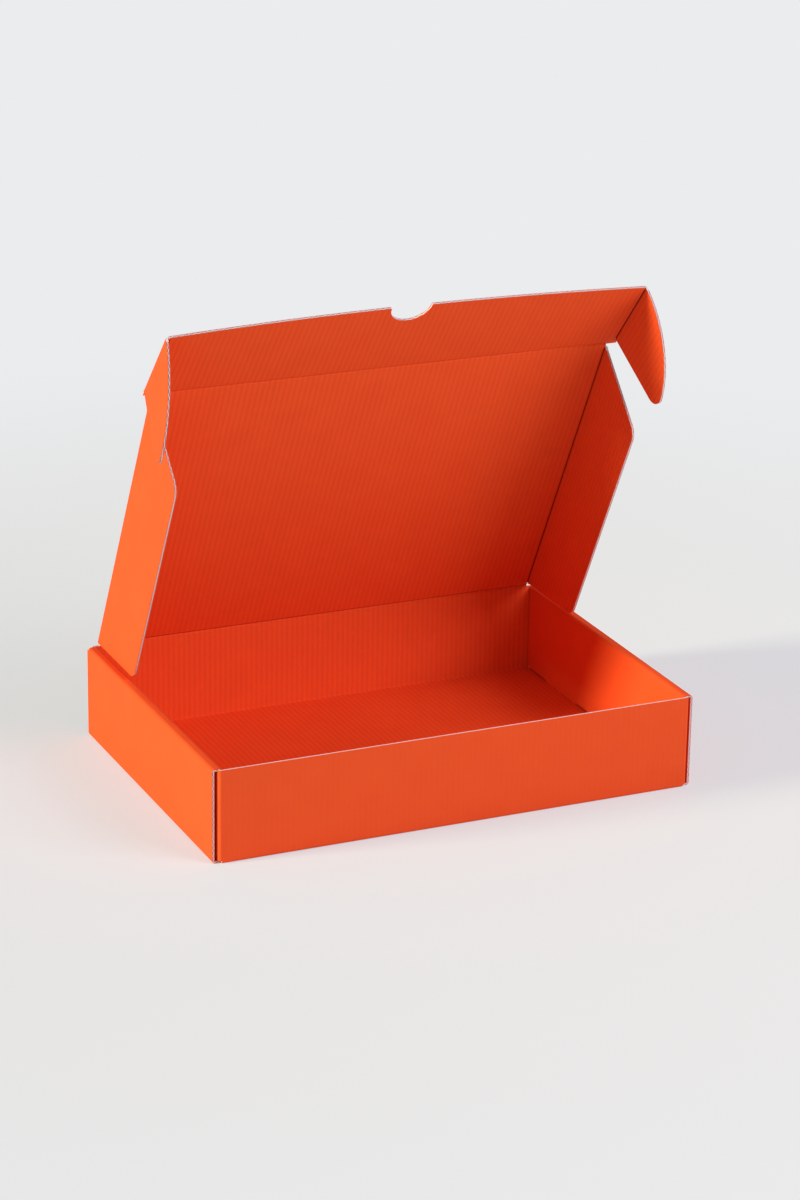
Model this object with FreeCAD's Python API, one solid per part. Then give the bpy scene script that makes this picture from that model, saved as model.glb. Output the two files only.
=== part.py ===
import FreeCAD, Part
import math
import os

# Roll-end tuck-front mailer box of thin corrugated board, lid open.
# Millimetres. Origin at the middle of the underside, +Z up, front towards -Y.
V = FreeCAD.Vector

# Board and fold sizes
BOARD = 1.5                        # thickness of the corrugated board
FOLD_OUT = 2.0                     # outer radius of a right-angle fold
FOLD_IN = FOLD_OUT - BOARD         # inner radius of a right-angle fold
CREASE_GAP = 0.2                   # air between a hinged panel and its neighbour
CUT_BACK = BOARD / 2 + CREASE_GAP  # flat edge to crease axis

# Outside of the tray
WIDTH = 310.0
DEPTH = 214.0
HEIGHT = 58.5
FRONT_WALL_TOP = 58.2
BACK_WALL_TOP = 58.4

# Layers of a side wall, as distances from the middle plane to a face
OUTER_IN = WIDTH / 2 - BOARD       # outer side panel, its inner face
FLAP_OUT = OUTER_IN - 1.7          # dust flap, outer face, behind the ear slot
FLAP_IN = FLAP_OUT - BOARD
INNER_OUT = FLAP_IN - 0.1          # inner side panel, face towards the flap
INNER_IN = INNER_OUT - BOARD       # inner side panel, face towards the contents

# Side panels along Y
SIDE_FRONT = -104.6
SIDE_BACK = 106.4
ROLL_BACK = 104.8                  # roll-over strip and inner panel stop here
INNER_FOOT = 2.6                   # foot of the inner panel between its tabs
TAB_LENGTH = 42.0
TAB_MIDDLE = 56.0                  # lock tabs at +/- this Y
TAB_FOOT = 0.25
SLOT_EASE = 0.3                    # air round a lock tab in its floor slot
DUST_FLAP = 58.0
DUST_TOP = 56.6
DUST_FOOT = 1.9

# Lid, as it stands open
HINGE_Y = DEPTH / 2 - BOARD / 2
HINGE_Z = HEIGHT + 0.1 + BOARD / 2
LEAN = math.radians(27.4)          # forward of upright
LID_LENGTH = HINGE_Y + DEPTH / 2 + 0.15 + BOARD / 2
WING_AXIS_X = INNER_IN - 0.25 - BOARD / 2
WING_START = 1.6                   # along the lid, from the hinge
WING_END = LID_LENGTH - 3.75
WING_HEIGHT = 56.6
WING_REAR = 30.3                   # rear free corner, along the lid
WING_FRONT = LID_LENGTH - 23.95    # front free corner
WING_ROUND = 9.0

# Front panel of the lid
PANEL_ANGLE = math.radians(14.0)   # between lid and front panel, folded in
PANEL_HEIGHT = 58.6
PANEL_BOW = 4.0                    # free edge stands out this far in the middle
BOW_START = 4.0
NOTCH_RADIUS = 13.0
EAR_AXIS_X = OUTER_IN - 0.1 - BOARD / 2
EAR_FLARE = math.radians(8.3)      # lock ears spread outwards of square
EAR_START = 2.9                    # along the front panel, from its crease
EAR_END = 57.6
EAR_SIDE = 3.4                     # straight inner edge: how far along the panel
EAR_STRAIGHT = 44.5                # and how long
EAR_TIP_SIDE = 6.4                 # round tip
EAR_TIP = 51.3
EAR_TURN_SIDE = 13.5               # where the tip runs into the long curve
EAR_TURN = 52.6
EAR_BELLY_SIDE = 41.3              # a point on the long curve
EAR_BELLY = 35.0

X = V(1, 0, 0)
ALONG_LID = V(0, -math.sin(LEAN), math.cos(LEAN))
INTO_LID = V(0, -math.cos(LEAN), -math.sin(LEAN))
HINGE = V(0, HINGE_Y, HINGE_Z)
FRONT_CREASE = HINGE + ALONG_LID * LID_LENGTH
ALONG_PANEL = ALONG_LID * math.cos(PANEL_ANGLE) + INTO_LID * math.sin(PANEL_ANGLE)
INTO_PANEL = INTO_LID * math.cos(PANEL_ANGLE) - ALONG_LID * math.sin(PANEL_ANGLE)


def save(shape, name):
    shape.exportStep("parts/%s.step" % name)


def prism(points, axis, length):
    """Closed polygon of points, pushed along an axis."""
    wire = Part.makePolygon(points + [points[0]])
    return Part.Face(wire).extrude(axis * length)


def slab(x0, x1, y0, y1, z0, z1):
    return Part.makeBox(x1 - x0, y1 - y0, z1 - z0, V(x0, y0, z0))


def folded_band(corners, place):
    """Board of even thickness that follows a line with rounded folds.

    corners: points (a, b) of the board's outer face, folding always the same way.
    place: turns (a, b) into a point in space. Returns a planar face."""
    outer = rounded_path(corners, FOLD_OUT)
    inner = rounded_path(offset_path(corners), FOLD_IN)
    edges = path_edges(outer, place) + path_edges(inner, place)
    edges.append(Part.makeLine(place(outer[0][0]), place(inner[0][0])))
    edges.append(Part.makeLine(place(outer[-1][-1]), place(inner[-1][-1])))
    wire = Part.Wire(Part.__sortEdges__(edges))
    return Part.Face(wire)


def unit(p, q):
    length = math.hypot(q[0] - p[0], q[1] - p[1])
    return ((q[0] - p[0]) / length, (q[1] - p[1]) / length)


def offset_path(corners):
    """The other face of the board: each run moved by its thickness to its left."""
    moved = []
    count = len(corners)
    for i, point in enumerate(corners):
        shift = [0.0, 0.0]
        if i > 0:
            d = unit(corners[i - 1], point)
            shift = [shift[0] - d[1] * BOARD, shift[1] + d[0] * BOARD]
        if i < count - 1:
            d = unit(point, corners[i + 1])
            shift = [shift[0] - d[1] * BOARD, shift[1] + d[0] * BOARD]
        moved.append((point[0] + shift[0], point[1] + shift[1]))
    return moved


def rounded_path(corners, radius):
    """Lines [p, q] and arcs [p, middle, q] along square corners."""
    pieces = []
    start = corners[0]
    for i in range(1, len(corners) - 1):
        corner = corners[i]
        into = unit(corners[i - 1], corner)
        away = unit(corner, corners[i + 1])
        first = (corner[0] - into[0] * radius, corner[1] - into[1] * radius)
        last = (corner[0] + away[0] * radius, corner[1] + away[1] * radius)
        centre = (first[0] + away[0] * radius, first[1] + away[1] * radius)
        middle = unit(centre, corner)
        middle = (centre[0] + middle[0] * radius, centre[1] + middle[1] * radius)
        pieces.append([start, first])
        pieces.append([first, middle, last])
        start = last
    pieces.append([start, corners[-1]])
    return pieces


def path_edges(pieces, place):
    edges = []
    for piece in pieces:
        points = [place(p) for p in piece]
        if len(points) == 2:
            edges.append(Part.makeLine(points[0], points[1]))
        else:
            edges.append(Part.Arc(points[0], points[1], points[2]).toShape())
    return edges


def floor_with_walls():
    """Front wall, floor and back wall, folded up at front and back."""
    corners = [(-DEPTH / 2, FRONT_WALL_TOP), (-DEPTH / 2, 0.0),
               (DEPTH / 2, 0.0), (DEPTH / 2, BACK_WALL_TOP)]
    half = FLAP_OUT - FOLD_OUT
    face = folded_band(corners, lambda p: V(-half, p[0], p[1]))
    return face.extrude(V(2 * half, 0, 0))


def side_walls():
    """Outer panels, roll-over strips and inner panels of both sides, with the floor."""
    left = -WIDTH / 2
    right = WIDTH / 2
    corners = [(-INNER_IN, INNER_FOOT), (-INNER_IN, HEIGHT), (left, HEIGHT), (left, 0.0),
               (right, 0.0), (right, HEIGHT), (INNER_IN, HEIGHT), (INNER_IN, INNER_FOOT)]
    face = folded_band(corners, lambda p: V(p[0], SIDE_FRONT, p[1]))
    body = face.extrude(V(0, SIDE_BACK - SIDE_FRONT, 0))
    for side in (-1, 1):
        body = body.cut(behind_roll(side))
    return body


def mirrored_slab(side, near, far, y0, y1, z0, z1):
    x0, x1 = sorted((side * near, side * far))
    return slab(x0, x1, y0, y1, z0, z1)


def behind_roll(side):
    """Room for the rear corner behind the roll-over strip and the inner panel."""
    top = mirrored_slab(side, INNER_IN - 1, OUTER_IN, ROLL_BACK, SIDE_BACK + 1,
                        BOARD, HEIGHT + 1)
    low = mirrored_slab(side, 0, OUTER_IN, ROLL_BACK + 0.1, SIDE_BACK + 1, -1, BOARD)
    return top.fuse(low)


def floor_slot(side, middle):
    """Slot through the floor with a little air round the lock tab in it."""
    half = TAB_LENGTH / 2 + SLOT_EASE
    return mirrored_slab(side, INNER_IN - SLOT_EASE, INNER_OUT + SLOT_EASE,
                         middle - half, middle + half, -1, BOARD + 0.5)


def lock_tab(side, middle):
    """Tab that runs down from the foot of the inner panel into the floor."""
    half = TAB_LENGTH / 2
    return mirrored_slab(side, INNER_IN, INNER_OUT, middle - half, middle + half,
                         TAB_FOOT, INNER_FOOT)


def dust_flaps(end):
    """Flaps folded back from both ends of the front (end -1) or back (end 1) wall."""
    wall = end * DEPTH / 2
    tip = end * (DEPTH / 2 - DUST_FLAP)
    corners = [(-FLAP_OUT, tip), (-FLAP_OUT, wall), (FLAP_OUT, wall), (FLAP_OUT, tip)]
    if end > 0:
        corners = corners[::-1]
    face = folded_band(corners, lambda p: V(p[0], p[1], DUST_FOOT))
    body = face.extrude(V(0, 0, DUST_TOP - DUST_FOOT))
    body = body.common(flap_outline(end))
    top = FRONT_WALL_TOP if end < 0 else BACK_WALL_TOP
    corner = face.extrude(V(0, 0, top - DUST_FOOT))
    near, far = sorted((wall, wall - end * FOLD_OUT))
    corner = corner.common(slab(-WIDTH, WIDTH, near, far, 0, HEIGHT))
    return body.fuse(corner)


def flap_outline(end):
    """Side view of a dust flap: its free end is tapered with blunted corners."""
    def at(run, z):
        return V(-WIDTH, end * (DEPTH / 2 - run), z)
    points = [at(-1, DUST_FOOT), at(6, DUST_FOOT), at(DUST_FLAP - 5, DUST_FOOT + 5),
              at(DUST_FLAP, DUST_FOOT + 11), at(DUST_FLAP, DUST_TOP - 11),
              at(DUST_FLAP - 5, DUST_TOP - 5), at(6, DUST_TOP), at(-1, DUST_TOP)]
    return prism(points, X, 2 * WIDTH)


def tray():
    body = floor_with_walls()
    for piece in (side_walls(), dust_flaps(-1), dust_flaps(1)):
        body = body.fuse(piece)
    for side in (-1, 1):
        for middle in (-TAB_MIDDLE, TAB_MIDDLE):
            body = body.cut(floor_slot(side, middle))
            body = body.fuse(lock_tab(side, middle))
    return body.removeSplitter()


def rounded_edge(along, axis_start, length):
    """Full round of a hinged edge about its crease axis."""
    return Part.makeCylinder(BOARD / 2, length, axis_start, along)


def panel_slab(origin, u_axis, v_axis, u0, u1, v0, v1):
    """Flat board between u0..u1 and v0..v1, its middle plane through the origin."""
    normal = u_axis.cross(v_axis)
    start = origin - normal * (BOARD / 2)
    points = [start + u_axis * u + v_axis * v
              for u, v in ((u0, v0), (u1, v0), (u1, v1), (u0, v1))]
    return prism(points, normal, BOARD)


def lid_panel():
    half = WING_AXIS_X - CUT_BACK
    body = panel_slab(HINGE, X, ALONG_LID, -half, half, 0, LID_LENGTH - CUT_BACK)
    edge = rounded_edge(X, HINGE - X * half, 2 * half)
    return body.fuse(edge).removeSplitter()


def corner_arc(before, corner, after, radius):
    """Two tangent points and the arc's middle for a rounded outline corner."""
    to_before = (before - corner).normalize()
    to_after = (after - corner).normalize()
    half = to_before.getAngle(to_after) / 2
    reach = radius / math.tan(half)
    first = corner + to_before * reach
    last = corner + to_after * reach
    bisector = (to_before + to_after).normalize()
    middle = corner + bisector * (radius / math.sin(half) - radius)
    return first, middle, last


def wing(side):
    """Side flap of the lid: long trapezium with rounded free corners."""
    axis = HINGE + X * (side * WING_AXIS_X)
    normal = X

    def at(u, h):
        return axis + ALONG_LID * u + INTO_LID * h - normal * (BOARD / 2)
    near_low, near_far = at(WING_START, 0), at(WING_REAR, WING_HEIGHT)
    far_far, far_low = at(WING_FRONT, WING_HEIGHT), at(WING_END, 0)
    a = corner_arc(near_low, near_far, far_far, WING_ROUND)
    b = corner_arc(near_far, far_far, far_low, WING_ROUND)
    edges = [Part.makeLine(near_low, a[0]), Part.Arc(*a).toShape(),
             Part.makeLine(a[2], b[0]), Part.Arc(*b).toShape(),
             Part.makeLine(b[2], far_low), Part.makeLine(far_low, near_low)]
    body = Part.Face(Part.Wire(edges)).extrude(normal * BOARD)
    edge = rounded_edge(ALONG_LID, axis + ALONG_LID * WING_START, WING_END - WING_START)
    return body.fuse(edge).removeSplitter()


def bowed_section(u, bow):
    """Cross-section of the front panel at height u, bowed outwards by an arc."""
    half = EAR_AXIS_X - CUT_BACK
    base = FRONT_CREASE + ALONG_PANEL * u

    def at(x, lift):
        return base + X * x - INTO_PANEL * lift
    low, high = -BOARD / 2, BOARD / 2
    edges = [Part.Arc(at(-half, low), at(0, low + bow), at(half, low)).toShape(),
             Part.makeLine(at(half, low), at(half, high)),
             Part.Arc(at(half, high), at(0, high + bow), at(-half, high)).toShape(),
             Part.makeLine(at(-half, high), at(-half, low))]
    return Part.Wire(edges)


def front_panel():
    half = EAR_AXIS_X - CUT_BACK
    shoulder = EAR_AXIS_X + BOARD / 2
    root = panel_slab(FRONT_CREASE, X, ALONG_PANEL, -half, half, 0, BOW_START)
    ends = panel_slab(FRONT_CREASE, X, ALONG_PANEL, -shoulder, shoulder, 0, EAR_START - 0.3)
    edge = rounded_edge(X, FRONT_CREASE - X * shoulder, 2 * shoulder)
    sections = [bowed_section(BOW_START, 0.001), bowed_section(PANEL_HEIGHT, PANEL_BOW)]
    sheet = Part.makeLoft(sections, True, True)
    body = root.fuse(ends).fuse(edge).fuse(sheet)
    top = FRONT_CREASE + ALONG_PANEL * PANEL_HEIGHT - INTO_PANEL * 20
    notch = Part.makeCylinder(NOTCH_RADIUS, 40, top, INTO_PANEL)
    return body.cut(notch).removeSplitter()


def ear(side):
    """Lock ear: straight inner edge, round tip, long curve back to the free edge."""
    axis = FRONT_CREASE + X * (side * EAR_AXIS_X)
    down = INTO_PANEL * math.cos(EAR_FLARE) + X * (side * math.sin(EAR_FLARE))
    normal = ALONG_PANEL.cross(down).normalize()

    def at(u, v):
        return axis + ALONG_PANEL * u + down * v - normal * (BOARD / 2)
    start = at(EAR_START, 0)
    straight = at(EAR_SIDE, EAR_STRAIGHT)
    tip = at(EAR_TIP_SIDE, EAR_TIP)
    turn = at(EAR_TURN_SIDE, EAR_TURN)
    belly = at(EAR_BELLY_SIDE, EAR_BELLY)
    end = at(EAR_END, 0)
    edges = [Part.makeLine(start, straight), Part.Arc(straight, tip, turn).toShape(),
             Part.Arc(turn, belly, end).toShape(), Part.makeLine(end, start)]
    body = Part.Face(Part.Wire(edges)).extrude(normal * BOARD)
    edge = rounded_edge(ALONG_PANEL, axis + ALONG_PANEL * EAR_START, EAR_END - EAR_START)
    return body.fuse(edge).removeSplitter()


def main():
    os.makedirs("parts", exist_ok=True)
    save(tray(), "tray")
    save(lid_panel(), "lid_panel")
    save(front_panel(), "front_panel")
    save(wing(-1), "left_wing")
    save(wing(1), "right_wing")
    save(ear(-1), "left_ear")
    save(ear(1), "right_ear")


main()
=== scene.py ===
import math

import bmesh
import bpy
import numpy as np
from mathutils import Matrix, Vector


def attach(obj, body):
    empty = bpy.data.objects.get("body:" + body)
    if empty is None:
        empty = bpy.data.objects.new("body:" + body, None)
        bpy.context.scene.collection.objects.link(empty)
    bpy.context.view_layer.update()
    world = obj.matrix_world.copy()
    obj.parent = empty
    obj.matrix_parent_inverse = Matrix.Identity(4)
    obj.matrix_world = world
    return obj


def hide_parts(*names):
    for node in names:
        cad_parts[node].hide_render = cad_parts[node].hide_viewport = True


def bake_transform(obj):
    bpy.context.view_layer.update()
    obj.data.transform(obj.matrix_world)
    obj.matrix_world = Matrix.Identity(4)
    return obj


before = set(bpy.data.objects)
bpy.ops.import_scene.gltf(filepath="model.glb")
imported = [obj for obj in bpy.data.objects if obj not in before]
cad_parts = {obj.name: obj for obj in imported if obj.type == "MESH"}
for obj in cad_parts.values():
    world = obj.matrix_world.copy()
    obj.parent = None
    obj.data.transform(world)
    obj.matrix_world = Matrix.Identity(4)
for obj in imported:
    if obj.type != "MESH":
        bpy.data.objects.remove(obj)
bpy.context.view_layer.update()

# Sizes in millimetres, repeated from the part's source
MM = 0.001
BOARD = 1.5
FOLD_OUT = 2.0
FOLD_MIDDLE = FOLD_OUT - BOARD / 2
CREASE_GAP = 0.2                # air between a hinged panel and its neighbour
CUT_BACK = BOARD / 2 + CREASE_GAP       # flat edge to crease axis
WIDTH = 310.0
DEPTH = 214.0
HEIGHT = 58.5
FRONT_WALL_TOP = 58.2
BACK_WALL_TOP = 58.4
OUTER_IN = WIDTH / 2 - BOARD
FLAP_OUT = OUTER_IN - 1.7
INNER_OUT = FLAP_OUT - BOARD - 0.1
INNER_IN = INNER_OUT - BOARD
SIDE_FRONT = -104.6
SIDE_BACK = 106.4
ROLL_BACK = 104.8
STRIP_BACK = ROLL_BACK + 0.1    # the floor beside the inner panel stops here
INNER_FOOT = 2.6
TAB_LENGTH = 42.0
TAB_MIDDLE = 56.0
TAB_FOOT = 0.25
SLOT_EASE = 0.3
DUST_FLAP = 58.0
DUST_TOP = 56.6
DUST_FOOT = 1.9
DUST_STRAIGHT = 4.0             # a dust flap runs on this far past its fold before it tapers
DUST_TAPER = 5.0                # it loses this much of its height to the blunt corner
DUST_CORNER = 5.0               # the blunt corner starts this far from the end
DUST_BLUNT = 11.0               # and has taken this much of the height there
HINGE_Y = DEPTH / 2 - BOARD / 2
HINGE_Z = HEIGHT + 0.1 + BOARD / 2
LEAN = math.radians(27.4)
LID_LENGTH = HINGE_Y + DEPTH / 2 + 0.15 + BOARD / 2
WING_AXIS_X = INNER_IN - 0.25 - BOARD / 2
WING_START = 1.6
WING_END = LID_LENGTH - 3.75
WING_HEIGHT = 56.6
WING_REAR = 30.3
WING_FRONT = LID_LENGTH - 23.95
WING_ROUND = 9.0
PANEL_ANGLE = math.radians(14.0)
PANEL_HEIGHT = 58.6
PANEL_BOW = 4.0
BOW_START = 4.0
NOTCH_RADIUS = 13.0
EAR_AXIS_X = OUTER_IN - 0.1 - BOARD / 2
EAR_FLARE = math.radians(8.3)
EAR_START = 2.9
EAR_END = 57.6
EAR_SIDE = 3.4                  # points of the ear's outline, along the panel and from the crease
EAR_STRAIGHT = 44.5
EAR_TIP_SIDE = 6.4
EAR_TIP = 51.3
EAR_TURN_SIDE = 13.5
EAR_TURN = 52.6
EAR_BELLY_SIDE = 41.3
EAR_BELLY = 35.0
SHOULDER_END = EAR_START - 0.3  # up to here the front panel is as wide as with its ears

# The corrugated board's own build-up
LINER = 0.28                    # thickness of each outer paper, a little heavy to be seen
FLUTE_PAPER = 0.36              # thickness of the wavy paper, heavy for the same reason
FLUTE_PITCH = 3.49              # E flute
FLUTE_EASE = 0.04               # air in all between the wavy paper and the liners
FLUTE_HEIGHT = BOARD - 2 * LINER - FLUTE_PAPER - FLUTE_EASE
FLUTE_INSET = 0.06              # the wavy paper ends this far inside the liners
STEPS_PER_FLUTE = 12

# In metres, for cleaning the meshes up
ONE_POINT = 2e-7                # points of the liners that are nearer than this are one
ONE_WAVE_POINT = 1e-7           # the same for the wavy paper
NO_LENGTH = 1e-8                # shorter edges are dropped

# Creases, with distances from the crease's axis
CREASE = 2.0                    # the crushed board reaches this far to each side
OUTER_ROUND = 0.9               # its outer face rounds off from here
GROOVE_EDGE = 1.1               # its groove, on the inner face, starts here
GROOVE_FOOT = 0.6               # and is at its deepest from here on
CRUSHED = 0.2                   # board left between the groove and the axis
BAND_STEP = 12.0                # longest stretch of a band between two cross sections

# Stiff creases, as a round half that turns in a hollow half, again from the axis
KNUCKLE = BOARD / 2 - 0.05      # radius of the round
HOLLOW = BOARD / 2 - 0.03       # radius of the hollow
KNUCKLE_FLAT = 0.3              # the round half's outer face is flat down to here
KNUCKLE_END = 315               # angle at which the round stops, in degrees
HOLLOW_END = -5                 # and the hollow
KNUCKLE_FOOT = 1.2              # the groove beside the hollow is at its deepest up to here
KNUCKLE_EDGE = 1.75             # and ends here
KNUCKLE_CRUSHED = 0.1           # board left between that groove and the axis

# Print and paper
MOTTLE = 22.22                  # size of a cloud of uneven inking
FIBRE = 0.625                   # grain of the paper. Real fibres, near 0.03, would not show
FUZZ = 1.111                    # grain of a cut edge, drawn coarse for the same reason
RIB_DEPTH = 0.022               # the liner rises and sinks by this much over the flutes
FIBRE_SHARE = 0.2               # the grain's height, as a share of the ribs'
CLOUD_TONE = 0.4                # tone runs from 0, the dark ink, to 1, the light one
BASE_TONE = 0.3                 # clouds add up to CLOUD_TONE to this
RIB_TONE = 0.17                 # and ribs move it up and down by this

X = Vector((1, 0, 0))
Y = Vector((0, 1, 0))
Z = Vector((0, 0, 1))
ALONG_LID = Vector((0, -math.sin(LEAN), math.cos(LEAN)))
INTO_LID = Vector((0, -math.cos(LEAN), -math.sin(LEAN)))
HINGE = Vector((0, HINGE_Y, HINGE_Z))
FRONT_CREASE = HINGE + ALONG_LID * LID_LENGTH
ALONG_PANEL = ALONG_LID * math.cos(PANEL_ANGLE) + INTO_LID * math.sin(PANEL_ANGLE)
INTO_PANEL = INTO_LID * math.cos(PANEL_ANGLE) - ALONG_LID * math.sin(PANEL_ANGLE)


# Colours and materials

BACKDROP = "EBECEE"


def linear(hex_colour):
    """sRGB hex to a linear colour with alpha 1."""
    values = []
    for i in (0, 2, 4):
        c = int(hex_colour[i:i + 2], 16) / 255
        values.append(c / 12.92 if c <= 0.04045 else ((c + 0.055) / 1.055) ** 2.4)
    return (*values, 1.0)


def add(tree, kind, settings=None, **inputs):
    """Adds a node, sets its properties and gives each named input a value or a link.

    i0, i1 and so on stand for inputs by number, for nodes that repeat a name."""
    node = tree.nodes.new(kind)
    for key, value in (settings or {}).items():
        setattr(node, key, value)
    for key, value in inputs.items():
        numbered = key[0] == "i" and key[1:].isdigit()
        socket = node.inputs[int(key[1:]) if numbered else key.replace("_", " ")]
        if isinstance(value, bpy.types.NodeSocket):
            tree.links.new(value, socket)
        else:
            socket.default_value = value
    return node


def new_material(name):
    material = bpy.data.materials.new(name)
    material.use_nodes = True
    material.node_tree.nodes.clear()
    return material, material.node_tree


def finish_material(tree, shader):
    output = tree.nodes.new("ShaderNodeOutputMaterial")
    tree.links.new(shader.outputs["BSDF"], output.inputs["Surface"])


def printed_liner(name, ribs, dark="E34C23", light="F5602C"):
    """Flexo-printed white-top liner: thin matt ink on paper that dips between the flutes.

    The eye sees an even, slightly mottled orange with faint lines at the flute pitch. ribs
    says how strongly the flutes show through, from 0 to 1."""
    material, tree = new_material(name)
    along = add(tree, "ShaderNodeTexCoord")
    parts = add(tree, "ShaderNodeSeparateXYZ", Vector=along.outputs["UV"])
    # The UV map is in millimetres, with U across the flutes, so the scales are too.
    turns = add(tree, "ShaderNodeMath", {"operation": "MULTIPLY"}, i0=parts.outputs["X"],
                i1=2 * math.pi / FLUTE_PITCH)
    sine = add(tree, "ShaderNodeMath", {"operation": "SINE"}, i0=turns.outputs[0])
    wave = add(tree, "ShaderNodeMath", {"operation": "MULTIPLY"}, i0=sine.outputs[0], i1=ribs)
    mottle = add(tree, "ShaderNodeTexNoise", {"noise_dimensions": "3D"},
                 Vector=along.outputs["UV"], Scale=1 / MOTTLE, Detail=3.0, Roughness=0.55)
    fibre = add(tree, "ShaderNodeTexNoise", {"noise_dimensions": "3D"},
                Vector=along.outputs["UV"], Scale=1 / FIBRE, Detail=2.0, Roughness=0.5)
    grain = add(tree, "ShaderNodeMath", {"operation": "MULTIPLY_ADD"},
                i0=fibre.outputs["Fac"], i1=FIBRE_SHARE, i2=wave.outputs[0])
    cloud = add(tree, "ShaderNodeMath", {"operation": "MULTIPLY_ADD"},
                i0=mottle.outputs["Fac"], i1=CLOUD_TONE, i2=BASE_TONE)
    tone = add(tree, "ShaderNodeMath", {"operation": "MULTIPLY_ADD"},
               i0=wave.outputs[0], i1=RIB_TONE, i2=cloud.outputs[0])
    ink = add(tree, "ShaderNodeValToRGB", Fac=tone.outputs[0])
    ink.color_ramp.elements[0].color = linear(dark)
    ink.color_ramp.elements[1].color = linear(light)
    bump = add(tree, "ShaderNodeBump", Strength=1.0, Distance=RIB_DEPTH * MM,
               Height=grain.outputs[0])
    shader = add(tree, "ShaderNodeBsdfPrincipled", Base_Color=ink.outputs["Color"],
                 Roughness=0.75, IOR=1.45, Specular_IOR_Level=0.12,
                 Normal=bump.outputs["Normal"])
    finish_material(tree, shader)
    return material


def raw_paper():
    """Bleached kraft paper where the board is cut: white, matt and a little fuzzy."""
    material, tree = new_material("bleached_kraft_cut_edge")
    along = add(tree, "ShaderNodeTexCoord")
    # Object coordinates are in metres.
    fuzz = add(tree, "ShaderNodeTexNoise", Vector=along.outputs["Object"],
               Scale=1 / (FUZZ * MM), Detail=2.0)
    tone = add(tree, "ShaderNodeValToRGB", Fac=fuzz.outputs["Fac"])
    tone.color_ramp.elements[0].color = linear("E6DCDF")
    tone.color_ramp.elements[1].color = linear("F6F1F3")
    shader = add(tree, "ShaderNodeBsdfPrincipled", Base_Color=tone.outputs["Color"],
                 Roughness=0.85, IOR=1.45)
    finish_material(tree, shader)
    return material


def backdrop_share(tree, most):
    """A share that holds only for what the camera sees, directly, mirrored or through glass.

    most is a number or the output of a node."""
    ray = tree.nodes.new("ShaderNodeLightPath")
    mirrored = add(tree, "ShaderNodeMath", {"operation": "MAXIMUM"},
                   i0=ray.outputs["Is Camera Ray"], i1=ray.outputs["Is Glossy Ray"])
    seen = add(tree, "ShaderNodeMath", {"operation": "MAXIMUM"}, i0=mirrored.outputs[0],
               i1=ray.outputs["Is Transmission Ray"])
    share = add(tree, "ShaderNodeMath", {"operation": "MULTIPLY"}, i0=seen.outputs[0], i1=most)
    return share.outputs[0]


def studio_floor():
    """Pale seamless paper sweep. The camera sees it partly as bright backlit paper, so that
    its shadows stay as light as on a lit studio table, while it lights the object as paper.
    Further out it turns wholly into the backdrop."""
    material, tree = new_material("seamless_paper")
    paper = add(tree, "ShaderNodeBsdfDiffuse", Color=linear("EEF3F6"))
    glow = add(tree, "ShaderNodeEmission", Color=linear(BACKDROP), Strength=1.0)
    spot = add(tree, "ShaderNodeTexCoord")
    away = add(tree, "ShaderNodeVectorMath", {"operation": "LENGTH"},
               Vector=spot.outputs["Object"])
    # From 0.4 to 0.95 m off the middle, the backdrop's share grows from about half to all.
    lit = add(tree, "ShaderNodeMapRange", {"interpolation_type": "SMOOTHSTEP"},
              Value=away.outputs["Value"], From_Min=0.4, From_Max=0.95, To_Min=0.55, To_Max=1.0)
    both = add(tree, "ShaderNodeMixShader", i0=backdrop_share(tree, lit.outputs["Result"]),
               i1=paper.outputs[0], i2=glow.outputs[0])
    output = tree.nodes.new("ShaderNodeOutputMaterial")
    tree.links.new(both.outputs[0], output.inputs["Surface"])
    return material


# The outer liner is the heavier one, so the flutes hardly show through it.
INSIDE = printed_liner("flexo_printed_liner_inside", ribs=1.0)
OUTSIDE = printed_liner("flexo_printed_liner_outside", ribs=0.2)
RAW = raw_paper()
# Painted shade: the print in the creases' narrow grooves is coloured deep red to stand for the
# shadow that lies in them.
CREASE_SHADE = printed_liner("print_with_painted_crease_shade", ribs=0.0, dark="AE200D", light="B82811")
PAPERS = (INSIDE, OUTSIDE, RAW, CREASE_SHADE)
INSIDE_SLOT, OUTSIDE_SLOT, RAW_SLOT, CREASE_SHADE_SLOT = 0, 1, 2, 3


# Where a point of the board lies. Each place takes s across the flutes, t along them and h,
# the height over the board's middle plane towards its outer face, all in millimetres.

def flat(origin, across, along, out):
    def place(s, t, h):
        return origin + across * s + along * t + out * h
    return place


class Folded:
    """Middle line of a board with rounded square folds, measured along its length."""

    def __init__(self, corners, radius=FOLD_MIDDLE, arc_steps=8):
        self.runs = []
        self.cuts = []
        start = Vector(corners[0])
        length = 0.0
        for i in range(1, len(corners)):
            end = Vector(corners[i])
            direction = (end - start).normalized()
            last = i == len(corners) - 1
            stop = end if last else end - direction * radius
            run = (stop - start).length
            self.runs.append(("line", length, length + run, start, direction))
            self.cuts += [length, length + run]
            length += run
            if last:
                continue
            after = (Vector(corners[i + 1]) - end).normalized()
            centre = stop + after * radius
            arc = radius * math.pi / 2
            self.runs.append(("arc", length, length + arc, centre, (direction, after, radius)))
            self.cuts += [length + arc * k / arc_steps for k in range(1, arc_steps)]
            length += arc
            start = end + after * radius
        self.length = length
        self.cuts.append(length)

    def at(self, q, h):
        """Point at length q, moved by h away from the side that the folds close on."""
        for kind, low, high, base, data in self.runs:
            if q <= high or (kind, low) == (self.runs[-1][0], self.runs[-1][1]):
                break
        if kind == "line":
            side = Vector((data[1], -data[0]))
            return base + data * (q - low) + side * h
        before, after, radius = data
        angle = (q - low) / radius
        arm = before * math.sin(angle) - after * math.cos(angle)
        return base + arm * (radius + h)


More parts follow.
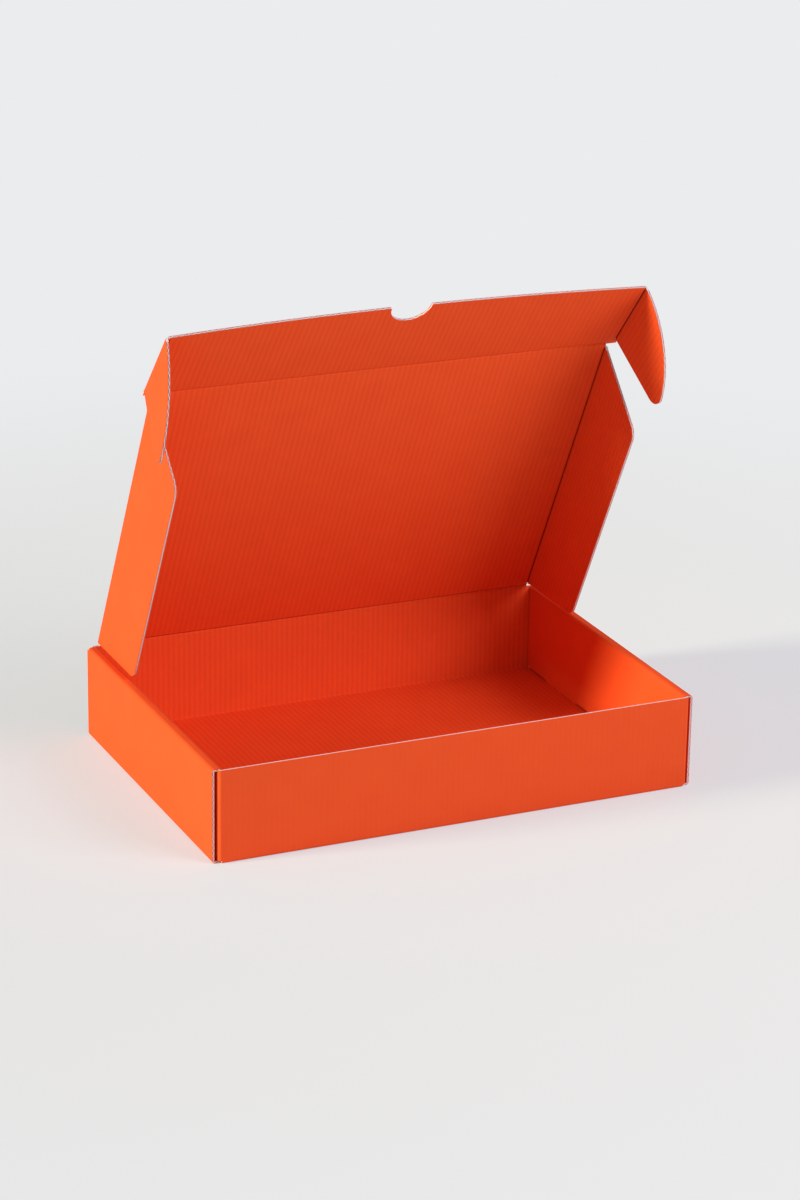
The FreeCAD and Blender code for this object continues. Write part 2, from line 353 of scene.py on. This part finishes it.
def span(outline, s):
    """Lowest and highest t of an outline polygon at s."""
    slack = 1e-9
    hits = []
    count = len(outline)
    for i in range(count):
        (s0, t0), (s1, t1) = outline[i], outline[(i + 1) % count]
        if s0 == s1:
            continue
        k = (s - s0) / (s1 - s0)
        if -slack <= k <= 1 + slack:
            hits.append(t0 + (t1 - t0) * k)
    return min(hits), max(hits)


def outline_columns(outline, extra=()):
    """s values that catch every corner of the outline from both sides."""
    lowest = min(p[0] for p in outline)
    highest = max(p[0] for p in outline)
    near = 0.002
    inside = 0.0001
    values = set()
    for s in [p[0] for p in outline] + list(extra):
        for value in (s - near, s + near):
            if lowest < value < highest:
                values.add(round(value, 5))
    return [lowest + inside] + sorted(values) + [highest - inside]


def rows_of(low, high, cuts):
    return [low] + [min(max(c, low), high) for c in sorted(cuts)] + [high]


def rectangle(s0, s1, t0, t1):
    return [(s0, t0), (s1, t0), (s1, t1), (s0, t1)]


class Board:
    """Collects the flat-pattern pieces of one body: liners as a mesh, flutes as strips."""

    def __init__(self, name):
        self.name = name
        self.liners = bmesh.new()
        self.uv = self.liners.loops.layers.uv.new("flat_pattern")
        self.strips = []

    def piece(self, outline, place, s_cuts=(), t_cuts=(), phase=0.0):
        """Adds one stretch of board. phase shifts the flutes to run on from a neighbour."""
        columns = outline_columns(outline, s_cuts)
        spans = [span(outline, s) for s in columns]
        for outer in (True, False):
            top = BOARD / 2 if outer else -BOARD / 2
            under = top - LINER if outer else top + LINER
            self.shell(columns, spans, t_cuts, place, top, under, outer, phase)
        step = FLUTE_PITCH / STEPS_PER_FLUTE
        first = columns[0]
        count = max(2, int(round((columns[-1] - first) / step)))
        fine = [first + (columns[-1] - first) * k / count for k in range(count + 1)]
        fine_spans = [span(outline, s) for s in fine]
        self.strips.append((fine, fine_spans, list(t_cuts), place, phase))

    def shell(self, columns, spans, t_cuts, place, top, under, outer, phase):
        grids = []
        for h in (top, under):
            grid = []
            for s, (low, high) in zip(columns, spans):
                rows = rows_of(low, high, t_cuts)
                grid.append([(self.liners.verts.new(place(s, t, h) * MM), s + phase, t)
                             for t in rows])
            grids.append(grid)
        upper, lower = grids
        printed = OUTSIDE_SLOT if outer else INSIDE_SLOT
        last = len(columns) - 1
        end = len(upper[0]) - 1
        for i in range(last):
            for j in range(end):
                self.face((upper[i][j], upper[i + 1][j], upper[i + 1][j + 1], upper[i][j + 1]),
                          printed, outer)
                self.face((lower[i][j], lower[i + 1][j], lower[i + 1][j + 1], lower[i][j + 1]),
                          RAW_SLOT, not outer)
            # The knife crushes the board's edge, so the print runs over the liner's side.
            for j in (0, end):
                self.face((upper[i][j], upper[i + 1][j], lower[i + 1][j], lower[i][j]),
                          printed, outer)
        for j in range(end):
            for i in (0, last):
                self.face((upper[i][j], upper[i][j + 1], lower[i][j + 1], lower[i][j]),
                          printed, outer)

    def face(self, corners, slot, outer):
        try:
            face = self.liners.faces.new([c[0] for c in corners])
        except ValueError:
            return
        face.material_index = slot
        face.smooth = True
        for loop, corner in zip(face.loops, corners):
            loop[self.uv].uv = (corner[1], corner[2])

    def liner_object(self):
        bmesh.ops.remove_doubles(self.liners, verts=self.liners.verts, dist=ONE_POINT)
        bmesh.ops.dissolve_degenerate(self.liners, dist=NO_LENGTH, edges=self.liners.edges)
        bmesh.ops.recalc_face_normals(self.liners, faces=self.liners.faces)
        return mesh_object(self.name + "_liners", self.liners, PAPERS)

    def flute_object(self):
        """Flat strips on the board's middle plane, turned into waves by the node tree."""
        positions, faces, across, out = [], [], [], []
        for columns, spans, t_cuts, place, phase in self.strips:
            base = len(positions)
            width = None
            for s, (low, high) in zip(columns, spans):
                inset = min(FLUTE_INSET, (high - low) / 3)
                rows = rows_of(low + inset, high - inset, t_cuts)
                width = len(rows)
                for t in rows:
                    middle = place(s, t, 0.0)
                    positions.append(middle * MM)
                    out.append((place(s, t, 1.0) - middle).normalized())
                    across.append((s + phase) * MM)
            for i in range(len(columns) - 1):
                for j in range(width - 1):
                    a = base + i * width + j
                    faces.append((a, a + width, a + width + 1, a + 1))
        mesh = bpy.data.meshes.new(self.name + "_flutes")
        mesh.from_pydata([tuple(p) for p in positions], [], faces)
        mesh.attributes.new("across", "FLOAT", "POINT").data.foreach_set("value", across)
        flat_out = [c for v in out for c in v]
        mesh.attributes.new("out", "FLOAT_VECTOR", "POINT").data.foreach_set("vector", flat_out)
        source = bpy.data.objects.new(self.name + "_flutes", mesh)
        bpy.context.scene.collection.objects.link(source)
        return waved(source)


def mesh_object(name, bm, materials):
    mesh = bpy.data.meshes.new(name)
    bm.to_mesh(mesh)
    bm.free()
    for material in materials:
        mesh.materials.append(material)
    obj = bpy.data.objects.new(name, mesh)
    bpy.context.scene.collection.objects.link(obj)
    soften(obj)
    return obj


def soften(obj, angle=30.0):
    """Smooth shading that keeps every edge sharper than the angle."""
    mesh = obj.data
    for polygon in mesh.polygons:
        polygon.use_smooth = True
    bm = bmesh.new()
    bm.from_mesh(mesh)
    limit = math.radians(angle)
    for edge in bm.edges:
        if len(edge.link_faces) != 2:
            edge.smooth = False
            continue
        first, second = edge.link_faces
        sharp = edge.calc_face_angle(0.0) > limit
        edge.smooth = not (sharp or first.material_index != second.material_index)
    bm.to_mesh(mesh)
    bm.free()


# Node tree that turns a flat strip into the wavy paper inside the board

def flute_tree():
    tree = bpy.data.node_groups.new("flute_wave", "GeometryNodeTree")
    face = tree.interface
    face.new_socket("Strip", in_out="INPUT", socket_type="NodeSocketGeometry")
    face.new_socket("Pitch", in_out="INPUT", socket_type="NodeSocketFloat")
    face.new_socket("Wave height", in_out="INPUT", socket_type="NodeSocketFloat")
    face.new_socket("Paper", in_out="INPUT", socket_type="NodeSocketFloat")
    face.new_socket("Material", in_out="INPUT", socket_type="NodeSocketMaterial")
    face.new_socket("Flutes", in_out="OUTPUT", socket_type="NodeSocketGeometry")
    start = tree.nodes.new("NodeGroupInput").outputs
    across = add(tree, "GeometryNodeInputNamedAttribute", {"data_type": "FLOAT"}, Name="across")
    out = add(tree, "GeometryNodeInputNamedAttribute", {"data_type": "FLOAT_VECTOR"}, Name="out")
    share = add(tree, "ShaderNodeMath", {"operation": "DIVIDE"},
                i0=across.outputs["Attribute"], i1=start["Pitch"])
    turns = add(tree, "ShaderNodeMath", {"operation": "MULTIPLY"}, i0=share.outputs[0],
                i1=2 * math.pi)
    sine = add(tree, "ShaderNodeMath", {"operation": "SINE"}, i0=turns.outputs[0])
    half = add(tree, "ShaderNodeMath", {"operation": "MULTIPLY"}, i0=start["Wave height"], i1=0.5)
    lift = add(tree, "ShaderNodeMath", {"operation": "MULTIPLY"}, i0=sine.outputs[0],
               i1=half.outputs[0])
    sunk = add(tree, "ShaderNodeMath", {"operation": "MULTIPLY"}, i0=start["Paper"], i1=-0.5)
    height = add(tree, "ShaderNodeMath", {"operation": "ADD"}, i0=lift.outputs[0],
                 i1=sunk.outputs[0])
    shift = add(tree, "ShaderNodeVectorMath", {"operation": "SCALE"},
                Vector=out.outputs["Attribute"], Scale=height.outputs[0])
    wave = add(tree, "GeometryNodeSetPosition", Geometry=start["Strip"],
               Offset=shift.outputs["Vector"])
    thick = add(tree, "ShaderNodeVectorMath", {"operation": "SCALE"},
                Vector=out.outputs["Attribute"], Scale=start["Paper"])
    raised = add(tree, "GeometryNodeExtrudeMesh", {"mode": "FACES"}, Mesh=wave.outputs[0],
                 Offset=thick.outputs["Vector"], Offset_Scale=1.0, Individual=False)
    under = add(tree, "GeometryNodeFlipFaces", Mesh=wave.outputs[0])
    both = add(tree, "GeometryNodeJoinGeometry")
    tree.links.new(under.outputs[0], both.inputs[0])
    tree.links.new(raised.outputs["Mesh"], both.inputs[0])
    closed = add(tree, "GeometryNodeMergeByDistance", Geometry=both.outputs[0],
                 Distance=ONE_WAVE_POINT)
    real = add(tree, "GeometryNodeRealizeInstances", Geometry=closed.outputs[0])
    painted = add(tree, "GeometryNodeSetMaterial", Geometry=real.outputs[0],
                  Material=start["Material"])
    end = tree.nodes.new("NodeGroupOutput")
    tree.links.new(painted.outputs[0], end.inputs[0])
    return tree


FLUTES = flute_tree()


def waved(source):
    """Runs the flute tree on a strip object and returns the result as a plain mesh object."""
    modifier = source.modifiers.new("flutes", "NODES")
    modifier.node_group = FLUTES
    values = {"Pitch": FLUTE_PITCH * MM, "Wave height": FLUTE_HEIGHT * MM,
              "Paper": FLUTE_PAPER * MM, "Material": RAW}
    for item in FLUTES.interface.items_tree:
        if item.in_out == "INPUT" and item.name in values:
            modifier[item.identifier] = values[item.name]
    bpy.context.view_layer.update()
    seen = bpy.context.evaluated_depsgraph_get()
    mesh = bpy.data.meshes.new_from_object(source.evaluated_get(seen))
    name = source.name
    bpy.data.objects.remove(source)
    bm = bmesh.new()
    bm.from_mesh(mesh)
    bmesh.ops.recalc_face_normals(bm, faces=bm.faces)
    bm.to_mesh(mesh)
    bm.free()
    mesh.name = name
    for attribute in ("across", "out"):
        if attribute in mesh.attributes:
            mesh.attributes.remove(mesh.attributes[attribute])
    result = bpy.data.objects.new(name, mesh)
    bpy.context.scene.collection.objects.link(result)
    soften(result, angle=50.0)
    return result


def dress(board, body, node):
    """Puts a board's liners and flutes in the place of its CAD node."""
    liners = board.liner_object()
    flutes = board.flute_object()
    for obj in (liners, flutes):
        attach(obj, body)
    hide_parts(node)


# Creases: the board is crushed along a line and bends there

def band(name, ring, slots, axis, along, low, high):
    """A straight band of board with one cross section. slots holds a material slot for the
    side that follows each point of the ring."""
    stations = list(np.linspace(low, high, max(2, int((high - low) / BAND_STEP))))
    bm = bmesh.new()
    uv = bm.loops.layers.uv.new("flat_pattern")
    rings = [[bm.verts.new((axis + along * q + p) * MM) for p in ring] for q in stations]
    count = len(ring)
    flutes_along = abs(along.x) < 0.5
    for i in range(len(stations) - 1):
        for j in range(count):
            k = (j + 1) % count
            f = bm.faces.new((rings[i][j], rings[i + 1][j], rings[i + 1][k], rings[i][k]))
            f.smooth = True
            f.material_index = slots[j]
            across = (0.0, 0.0, 0.0, 0.0) if flutes_along else (
                stations[i], stations[i + 1], stations[i + 1], stations[i])
            for loop, value in zip(f.loops, across):
                loop[uv].uv = (value, 0.0)
    for index in (0, -1):
        f = bm.faces.new(rings[index])
        f.material_index = RAW_SLOT
    bmesh.ops.recalc_face_normals(bm, faces=bm.faces)
    obj = mesh_object(name, bm, PAPERS)
    return obj


def crease(name, axis, arriving, arriving_out, leaving, leaving_out, along, low, high,
           steps=8):
    """A band of crushed board round a crease axis, bending between the two bodies.

    arriving and leaving are the directions of the two panels' boards through the axis."""
    face = BOARD / 2
    outer = [-arriving * CREASE + arriving_out * face,
             -arriving * OUTER_ROUND + arriving_out * face]
    for k in range(steps + 1):
        turn = k / steps
        arm = (arriving_out * (1 - turn) + leaving_out * turn).normalized()
        outer.append(arm * face)
    outer += [leaving * OUTER_ROUND + leaving_out * face,
              leaving * CREASE + leaving_out * face]
    middle = (arriving_out + leaving_out).normalized()
    inner = [-arriving * CREASE - arriving_out * face,
             -arriving * GROOVE_EDGE - arriving_out * face,
             -arriving * GROOVE_FOOT - arriving_out * CRUSHED, -middle * CRUSHED,
             leaving * GROOVE_FOOT - leaving_out * CRUSHED,
             leaving * GROOVE_EDGE - leaving_out * face,
             leaving * CREASE - leaving_out * face]
    ring = outer + inner[::-1]
    # Only the leaving panel's half of the groove's bottom gets the painted crease shade, as one
    # thin dark line.
    slots = [OUTSIDE_SLOT] * (len(outer) - 1) + [RAW_SLOT, INSIDE_SLOT, INSIDE_SLOT]
    slots += [CREASE_SHADE_SLOT, INSIDE_SLOT, INSIDE_SLOT, INSIDE_SLOT, RAW_SLOT]
    obj = band(name, ring, slots, axis, along, low, high)
    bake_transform(obj)


def arc(away, out, radius, first, last, steps=30):
    """Points about an axis, by angle in degrees from away towards out."""
    points = []
    for k in range(steps + 1):
        angle = math.radians(first + (last - first) * k / steps)
        points.append((away * math.cos(angle) + out * math.sin(angle)) * radius)
    return points


def knuckle_crease(name, axis, arriving, arriving_out, leaving, leaving_out, along, low, high,
                   ends):
    """Two stiff halves of a square crease. The leaving half is round about the axis and turns
    in a hollow of the arriving half, so that the fold stays closed at every angle."""
    face = BOARD / 2
    back = -arriving
    fixed = [back * CREASE + arriving_out * face, arriving_out * face]
    fixed += arc(back, arriving_out, HOLLOW, 90, HOLLOW_END)
    fixed += [back * KNUCKLE_FOOT - arriving_out * KNUCKLE_CRUSHED,
              back * KNUCKLE_EDGE - arriving_out * face, back * CREASE - arriving_out * face]
    turning = [leaving * CREASE + leaving_out * face,
               leaving * KNUCKLE_FLAT + leaving_out * face]
    turning += arc(leaving, leaving_out, KNUCKLE, 90, KNUCKLE_END)
    turning += [leaving * face - leaving_out * face, leaving * CREASE - leaving_out * face]
    for body, ring in zip(ends, (fixed, turning)):
        # The hollow and the round get the painted crease shade, a deep red that stands for the
        # shadow inside the fold.
        slots = [OUTSIDE_SLOT] + [CREASE_SHADE_SLOT] * (len(ring) - 3) + [INSIDE_SLOT, RAW_SLOT]
        obj = band(name + "_on_" + body, ring, slots, axis, along, low, high)
        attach(obj, body)


# Tray

def floor_and_end_walls(board):
    """Floor with its front and back walls. The flutes run front to back and up the walls."""
    half = FLAP_OUT - FOLD_OUT
    inner = INNER_IN - SLOT_EASE
    fold_end = DEPTH / 2 - FOLD_OUT
    board.piece(rectangle(-inner, inner, -fold_end, fold_end),
                flat(Vector((0, 0, BOARD / 2)), X, Y, -Z))
    for end in (-1, 1):
        wall = DEPTH / 2 - BOARD / 2
        top = FRONT_WALL_TOP if end < 0 else BACK_WALL_TOP
        path = Folded([(fold_end, BOARD / 2), (wall, BOARD / 2), (wall, top)])

        def place(s, t, h, path=path, end=end):
            p = path.at(t, h)
            return Vector((s, end * p.x, p.y))
        if end < 0:
            outline = rectangle(-half, half, 0, path.length)
        else:
            crease_half = WING_AXIS_X - CUT_BACK
            low = path.length - (BACK_WALL_TOP - (HINGE_Z - CREASE))
            outline = [(-half, 0), (half, 0), (half, path.length), (crease_half, path.length),
                       (crease_half, low), (-crease_half, low), (-crease_half, path.length),
                       (-half, path.length)]
        board.piece(outline, place, t_cuts=path.cuts)


def dust_flap(board, side, end):
    """Rounded corner at a wall's end and the dust flap that runs back from it."""
    top = FRONT_WALL_TOP if end < 0 else BACK_WALL_TOP
    wall = DEPTH / 2 - BOARD / 2
    out = FLAP_OUT - BOARD / 2
    start = FLAP_OUT - FOLD_OUT
    path = Folded([(start, wall), (out, wall), (out, DEPTH / 2 - DUST_FLAP)])
    fold = FOLD_MIDDLE * math.pi / 2

    def place(s, t, h):
        # The flat pattern turns the other way here, so the outer side is minus.
        p = path.at(s, -h)
        return Vector((side * p.x, end * p.y, t))
    far = path.length
    board.piece(rectangle(0, fold, DUST_FOOT, top), place, s_cuts=path.cuts, phase=start)
    bend = fold + DUST_STRAIGHT
    blunt = far - DUST_CORNER
    taper = [(fold, DUST_FOOT), (bend, DUST_FOOT), (blunt, DUST_FOOT + DUST_TAPER),
             (far, DUST_FOOT + DUST_BLUNT), (far, DUST_TOP - DUST_BLUNT),
             (blunt, DUST_TOP - DUST_TAPER), (bend, DUST_TOP), (fold, DUST_TOP)]
    board.piece(taper, place, phase=start)


def side_wall(board, side):
    """Outer panel, roll-over strip and inner panel of one side, with the floor beside it."""
    slot_in = INNER_IN - SLOT_EASE
    slot_out = INNER_OUT + SLOT_EASE
    middle = BOARD / 2
    outer = WIDTH / 2 - middle
    roof = HEIGHT - middle
    inner = INNER_IN + middle
    path = Folded([(slot_out, middle), (outer, middle), (outer, roof), (inner, roof),
                   (inner, INNER_FOOT)])

    def place(s, t, h):
        p = path.at(s, h)
        return Vector((side * p.x, t, p.y))

    def strip(s, t, h):
        return Vector((side * (slot_in + s), t, middle - h))
    half = TAB_LENGTH / 2 + SLOT_EASE
    gaps = [(-TAB_MIDDLE - half, -TAB_MIDDLE + half), (TAB_MIDDLE - half, TAB_MIDDLE + half)]
    bars = [(SIDE_FRONT, gaps[0][0]), (gaps[0][1], gaps[1][0]), (gaps[1][1], STRIP_BACK)]
    for low, high in bars:
        board.piece(rectangle(0, slot_out - slot_in, low, high), strip, phase=slot_in)
    fold = FOLD_MIDDLE * math.pi / 2
    wall_start = outer - FOLD_MIDDLE - slot_out
    wall_end = wall_start + fold + (roof - middle - 2 * FOLD_MIDDLE)
    outline = [(0, SIDE_FRONT), (path.length, SIDE_FRONT), (path.length, ROLL_BACK),
               (wall_end, ROLL_BACK), (wall_end, SIDE_BACK), (wall_start, SIDE_BACK),
               (wall_start, ROLL_BACK), (0, ROLL_BACK)]
    board.piece(outline, place, s_cuts=path.cuts, phase=slot_out)
    for centre in (-TAB_MIDDLE, TAB_MIDDLE):
        def tab(s, t, h):
            return Vector((side * (inner - h), t, INNER_FOOT - s))
        board.piece(rectangle(0, INNER_FOOT - TAB_FOOT, centre - TAB_LENGTH / 2,
                              centre + TAB_LENGTH / 2), tab, phase=slot_out + path.length)


def build_tray():
    board = Board("tray")
    floor_and_end_walls(board)
    for side in (-1, 1):
        side_wall(board, side)
        for end in (-1, 1):
            dust_flap(board, side, end)
    dress(board, "tray", "tray")


# Lid

def build_lid_panel():
    board = Board("lid_panel")
    inner = WING_AXIS_X - CREASE
    edge = WING_AXIS_X - CUT_BACK
    place = flat(HINGE, X, ALONG_LID, -INTO_LID)
    far = LID_LENGTH - CREASE
    board.piece(rectangle(-inner, inner, CREASE, far), place)
    for side in (-1, 1):
        s0, s1 = sorted((side * inner, side * edge))
        board.piece(rectangle(s0, s1, WING_END, far), place)
    dress(board, "lid", "lid_panel")
    crease("lid_crease", HINGE, Z, Y, ALONG_LID, -INTO_LID, X, -edge, edge)


def wing_corner(before, corner, after, steps=14):
    """Points round a rounded outline corner."""
    before, corner, after = Vector(before), Vector(corner), Vector(after)
    back = (before - corner).normalized()
    on = (after - corner).normalized()
    half = back.angle(on) / 2
    reach = WING_ROUND / math.tan(half)
    centre = corner + (back + on).normalized() * (WING_ROUND / math.sin(half))
    first = corner + back * reach - centre
    last = corner + on * reach - centre
    points = []
    for k in range(steps + 1):
        arm = first.lerp(last, k / steps).normalized()
        points.append(tuple(centre + arm * WING_ROUND))
    return points


def build_wing(side):
    """Side wing: s runs from the crease to the free edge, t along the lid."""
    name = "left_wing" if side < 0 else "right_wing"
    board = Board(name)
    axis = HINGE + X * (side * WING_AXIS_X)
    slope_rear = (WING_REAR - WING_START) / WING_HEIGHT
    slope_front = (WING_END - WING_FRONT) / WING_HEIGHT
    rear = (WING_HEIGHT, WING_REAR)
    front = (WING_HEIGHT, WING_FRONT)
    low = (CREASE, WING_START + slope_rear * CREASE)
    high = (CREASE, WING_END - slope_front * CREASE)
    outline = [low] + wing_corner(low, rear, front) + wing_corner(rear, front, high) + [high]
    board.piece(outline, flat(axis, INTO_LID, ALONG_LID, X * side), phase=WING_AXIS_X)
    dress(board, name, name)
    knuckle_crease(name + "_crease", axis, X * side, -INTO_LID, INTO_LID, X * side, ALONG_LID,
                   CREASE, WING_END, ("lid", name))


# Front panel and lock ears

def panel_place(s, t, h):
    """The front panel bows outwards between its ears, more towards its free edge."""
    half = EAR_AXIS_X - CUT_BACK
    rise = PANEL_BOW * max(0.0, t - BOW_START) / (PANEL_HEIGHT - BOW_START)
    lift = rise * (1 - min(1.0, abs(s) / half) ** 2)
    return FRONT_CREASE + X * s + ALONG_PANEL * t - INTO_PANEL * (h + lift)


def build_front_panel(notch_steps=24, bow_steps=60):
    board = Board("front_panel")
    lid_edge = WING_AXIS_X - CUT_BACK
    ear_side = EAR_AXIS_X - CREASE
    panel_edge = EAR_AXIS_X - CUT_BACK
    shoulder = EAR_AXIS_X + BOARD / 2
    outline = [(-ear_side, -BOARD / 2), (-lid_edge, -BOARD / 2), (-lid_edge, CREASE),
               (lid_edge, CREASE), (lid_edge, -BOARD / 2), (ear_side, -BOARD / 2),
               (ear_side, PANEL_HEIGHT)]
    for k in range(notch_steps + 1):
        angle = math.pi * k / notch_steps
        outline.append((NOTCH_RADIUS * math.cos(angle),
                        PANEL_HEIGHT - NOTCH_RADIUS * math.sin(angle)))
    outline.append((-ear_side, PANEL_HEIGHT))
    bow_columns = list(np.linspace(-ear_side, ear_side, bow_steps + 1))
    board.piece(outline, panel_place, s_cuts=bow_columns, t_cuts=(BOW_START,))
    for side in (-1, 1):
        s0, s1 = sorted((side * ear_side, side * shoulder))
        board.piece(rectangle(s0, s1, -BOARD / 2, SHOULDER_END), panel_place)
        s0, s1 = sorted((side * ear_side, side * panel_edge))
        board.piece(rectangle(s0, s1, EAR_END, PANEL_HEIGHT), panel_place)
    dress(board, "front", "front_panel")
    crease("front_crease", FRONT_CREASE, ALONG_LID, -INTO_LID, ALONG_PANEL, -INTO_PANEL, X,
           -lid_edge, lid_edge)


def arc_through(p, q, r, steps):
    """Points of the circular arc from p through q to r, as (u, v)."""
    (ax, ay), (bx, by), (cx, cy) = p, q, r
    d = 2 * (ax * (by - cy) + bx * (cy - ay) + cx * (ay - by))
    ux = ((ax ** 2 + ay ** 2) * (by - cy) + (bx ** 2 + by ** 2) * (cy - ay)
          + (cx ** 2 + cy ** 2) * (ay - by)) / d
    uy = ((ax ** 2 + ay ** 2) * (cx - bx) + (bx ** 2 + by ** 2) * (ax - cx)
          + (cx ** 2 + cy ** 2) * (bx - ax)) / d
    radius = math.hypot(ax - ux, ay - uy)
    start = math.atan2(ay - uy, ax - ux)
    through = math.atan2(by - uy, bx - ux)
    end = math.atan2(cy - uy, cx - ux)
    full = 2 * math.pi
    forward = (end - start) % full
    if (through - start) % full > forward:
        forward -= full
    return [(ux + radius * math.cos(start + forward * k / steps),
             uy + radius * math.sin(start + forward * k / steps)) for k in range(steps + 1)]


def build_ear(side):
    """Lock ear: s runs from its crease to the tip, t along the front panel's height."""
    name = "left_ear" if side < 0 else "right_ear"
    board = Board(name)
    axis = FRONT_CREASE + X * (side * EAR_AXIS_X)
    down = INTO_PANEL * math.cos(EAR_FLARE) + X * (side * math.sin(EAR_FLARE))
    out = X * (side * math.cos(EAR_FLARE)) - INTO_PANEL * math.sin(EAR_FLARE)
    turn = (EAR_TURN_SIDE, EAR_TURN)
    tip = arc_through((EAR_SIDE, EAR_STRAIGHT), (EAR_TIP_SIDE, EAR_TIP), turn, steps=12)
    belly = arc_through(turn, (EAR_BELLY_SIDE, EAR_BELLY), (EAR_END, 0.0), steps=40)
    edge = [(v, u) for u, v in tip + belly[1:] if v > CREASE]
    # The board starts a crease's reach away, where its two edges have already closed in.
    first = EAR_START + (EAR_SIDE - EAR_START) * CREASE / EAR_STRAIGHT
    share = min(1.0, CREASE / belly[-2][1])
    last = EAR_END + (belly[-2][0] - EAR_END) * share
    outline = [(CREASE, first)] + edge + [(CREASE, last)]
    board.piece(outline, flat(axis, down, ALONG_PANEL, out), phase=EAR_AXIS_X)
    dress(board, name, name)
    knuckle_crease(name + "_crease", axis, X * side, -INTO_PANEL, down, out, ALONG_PANEL,
                   EAR_START, EAR_END, ("front", name))


# Studio

def build_floor(half=9.0):
    """The paper sweep, half as wide as given, in metres."""
    mesh = bpy.data.meshes.new("studio_floor")
    mesh.from_pydata([(-half, -half, 0), (half, -half, 0), (half, half, 0), (-half, half, 0)],
                     [], [(0, 1, 2, 3)])
    mesh.materials.append(studio_floor())
    floor = bpy.data.objects.new("studio_floor", mesh)
    bpy.context.scene.collection.objects.link(floor)


def aim(obj, towards):
    """Points a lamp's -Z along a direction."""
    obj.rotation_euler = Vector(towards).to_track_quat("-Z", "Y").to_euler()


def sun(name, energy, angle, direction, colour):
    """A large far lamp. The angle, in degrees, sets how soft its shadows are."""
    data = bpy.data.lights.new(name, "SUN")
    data.energy = energy
    data.angle = math.radians(angle)
    data.color = colour
    lamp = bpy.data.objects.new(name, data)
    bpy.context.scene.collection.objects.link(lamp)
    aim(lamp, direction)


def softbox(name, power, size, place, colour, target=(0, 0, 0.1)):
    """A square diffuser, in metres, turned towards a point in the object."""
    data = bpy.data.lights.new(name, "AREA")
    data.energy = power
    data.size = size
    data.color = colour
    lamp = bpy.data.objects.new(name, data)
    bpy.context.scene.collection.objects.link(lamp)
    lamp.location = place
    aim(lamp, Vector(target) - Vector(place))


def build_world():
    """Even room light. The camera sees the backdrop's colour in its place."""
    world = bpy.data.worlds.new("studio")
    bpy.context.scene.world = world
    world.use_nodes = True
    tree = world.node_tree
    tree.nodes.clear()
    light = add(tree, "ShaderNodeBackground", Color=linear("F6F3F8"), Strength=0.31)
    backdrop = add(tree, "ShaderNodeBackground", Color=linear(BACKDROP), Strength=1.0)
    both = add(tree, "ShaderNodeMixShader", i0=backdrop_share(tree, 1.0), i1=light.outputs[0],
               i2=backdrop.outputs[0])
    output = tree.nodes.new("ShaderNodeOutputWorld")
    tree.links.new(both.outputs[0], output.inputs["Surface"])


def build_light():
    """A yellowish low key from the left, a pinkish fill from the front right and the room."""
    sun("key_left", energy=3.9, angle=12, direction=(1.0, -0.10, -0.25), colour=(1.0, 1.0, 0.7))
    softbox("fill_front_right", power=69.0, size=1.9, place=(1.84, -2.24, 1.84),
            colour=(1.0, 0.87, 0.94))
    build_world()
    bpy.context.scene.view_settings.view_transform = "Standard"


# The photograph's camera: millimetres, radians and, for the focal length, pixels
CAMERA_PLACE = Vector((-846.8, -1874.3, 859.0))
CAMERA_YAW = 0.42799
CAMERA_PITCH = 0.35147
CAMERA_ROLL = -0.01692
FOCAL_PIXELS = 3621.0
PHOTO_HEIGHT = 1200.0
SENSOR_HEIGHT = 36.0


def build_camera():
    """Stands the camera where the photograph was taken from."""
    forward = Vector((math.sin(CAMERA_YAW) * math.cos(CAMERA_PITCH),
                      math.cos(CAMERA_YAW) * math.cos(CAMERA_PITCH), -math.sin(CAMERA_PITCH)))
    right = Vector((math.cos(CAMERA_YAW), -math.sin(CAMERA_YAW), 0))
    down = forward.cross(right)
    right_rolled = right * math.cos(CAMERA_ROLL) + down * math.sin(CAMERA_ROLL)
    down_rolled = down * math.cos(CAMERA_ROLL) - right * math.sin(CAMERA_ROLL)
    data = bpy.data.cameras.new("camera")
    data.sensor_fit = "VERTICAL"
    data.sensor_height = SENSOR_HEIGHT
    data.lens = FOCAL_PIXELS * SENSOR_HEIGHT / PHOTO_HEIGHT
    data.clip_end = 50.0
    camera = bpy.data.objects.new("camera", data)
    bpy.context.scene.collection.objects.link(camera)
    turn = Matrix((right_rolled, -down_rolled, -forward)).transposed()
    camera.matrix_world = Matrix.Translation(CAMERA_PLACE * MM) @ turn.to_4x4()
    bpy.context.scene.camera = camera


build_tray()
build_lid_panel()
build_front_panel()
for side in (-1, 1):
    build_wing(side)
    build_ear(side)
build_floor()
build_light()
build_camera()
